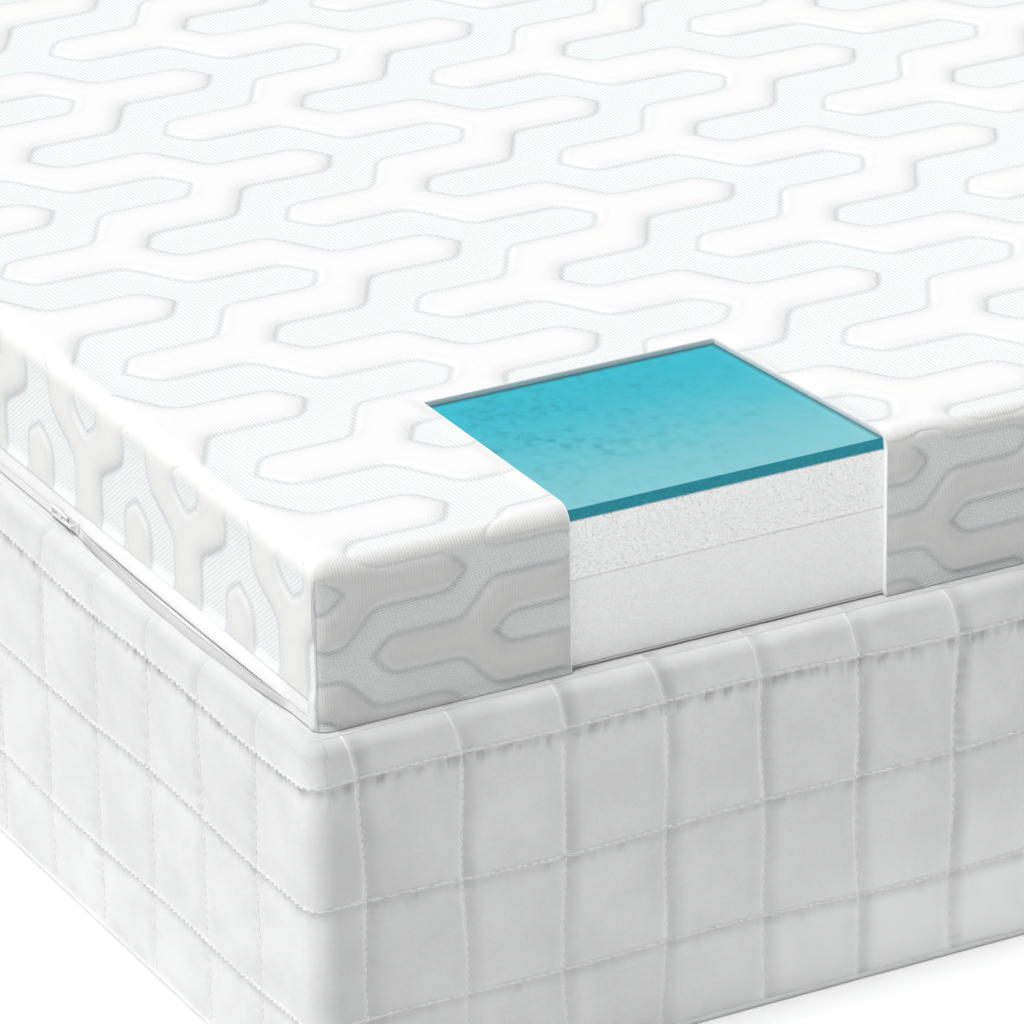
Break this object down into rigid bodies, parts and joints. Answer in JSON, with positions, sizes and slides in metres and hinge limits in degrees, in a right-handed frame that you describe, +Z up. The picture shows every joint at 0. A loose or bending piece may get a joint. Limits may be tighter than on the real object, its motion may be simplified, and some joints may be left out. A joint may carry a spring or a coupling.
{
  "type": "memory foam mattress",
  "caption": "Two-tier memory foam mattress: quilted foam base and a lift-off gel foam topper in a zipped knit cover with a display window.",
  "frame": {"origin": "on the floor under the middle of the base tier", "axes": "+X along the long side towards the head end, +Y away from the long side with the window, +Z up; the zip is on the foot end at -X"},
  "size_m": [2.06, 1.552, 0.3363],
  "materials": {
    "bottom_cloth": "woven dust cloth, matt",
    "edge_tape": "narrow bound tape",
    "base_support_foam": "open-cell foam, matt",
    "base_comfort_foam": "open-cell foam, matt",
    "wadding": "loose fibre",
    "quilted_top_cloth": "plain brushed cloth, quilted",
    "lining": "non-woven lining",
    "quilted_border_cloth": "brushed cloth, quilted in squares",
    "topper_support_foam": "fine-cell foam, matt",
    "memory_foam": "coarse-cell memory foam, matt",
    "gel": "smooth soft gel, satin",
    "cover_knit": "double knit with raised ribs on a mesh ground",
    "zip_tape_grey": "cross-ribbed zip tape",
    "zip_tape_white": "woven zip tape",
    "zip_teeth": "moulded plastic",
    "zip_metal": "white enamelled metal"
  },
  "bodies": {
    "base_tier": {"base_bottom_cloth": "bottom_cloth", "bottom_edge_tape": "edge_tape", "base_support_foam": "base_support_foam", "base_comfort_foam": "base_comfort_foam", "base_top_wadding": "wadding", "base_top_cloth": "quilted_top_cloth", "top_edge_tape": "edge_tape", "border_lining": "lining", "border_wadding": "wadding", "border_quilt_cloth": "quilted_border_cloth"},
    "topper": {"cover_base_cloth": "lining", "support_foam_layer": "topper_support_foam", "memory_foam_layer": "memory_foam", "gel_layer": "gel", "cover_wadding": "wadding", "cover_knit": "cover_knit", "zip_tape_lower": "zip_tape_grey", "zip_tape_upper": "zip_tape_white", "zip_teeth_lower": "zip_teeth", "zip_teeth_upper": "zip_teeth", "zip_top_stops": "zip_metal", "zip_bottom_stop": "zip_metal"},
    "zip_slider": {"zip_slider": "zip_metal"},
    "zip_pull": {"zip_pull": "zip_metal"}
  },
  "joints": [
    {"name": "topper_lift", "type": "slide", "parent": "base_tier", "child": "topper", "axis": [0, 0, 1], "range_m": [0, 0.15]},
    {"name": "zip_slide", "type": "slide", "parent": "topper", "child": "zip_slider", "axis": [0, 1, 0], "range_m": [-0.299, 1.182]},
    {"name": "pull_hinge", "type": "hinge", "parent": "zip_slider", "child": "zip_pull", "pos_m": [-1.0172, -0.4388, 0.2398], "axis": [0, 0, 1], "range_deg": [0, 155]}
  ]
}
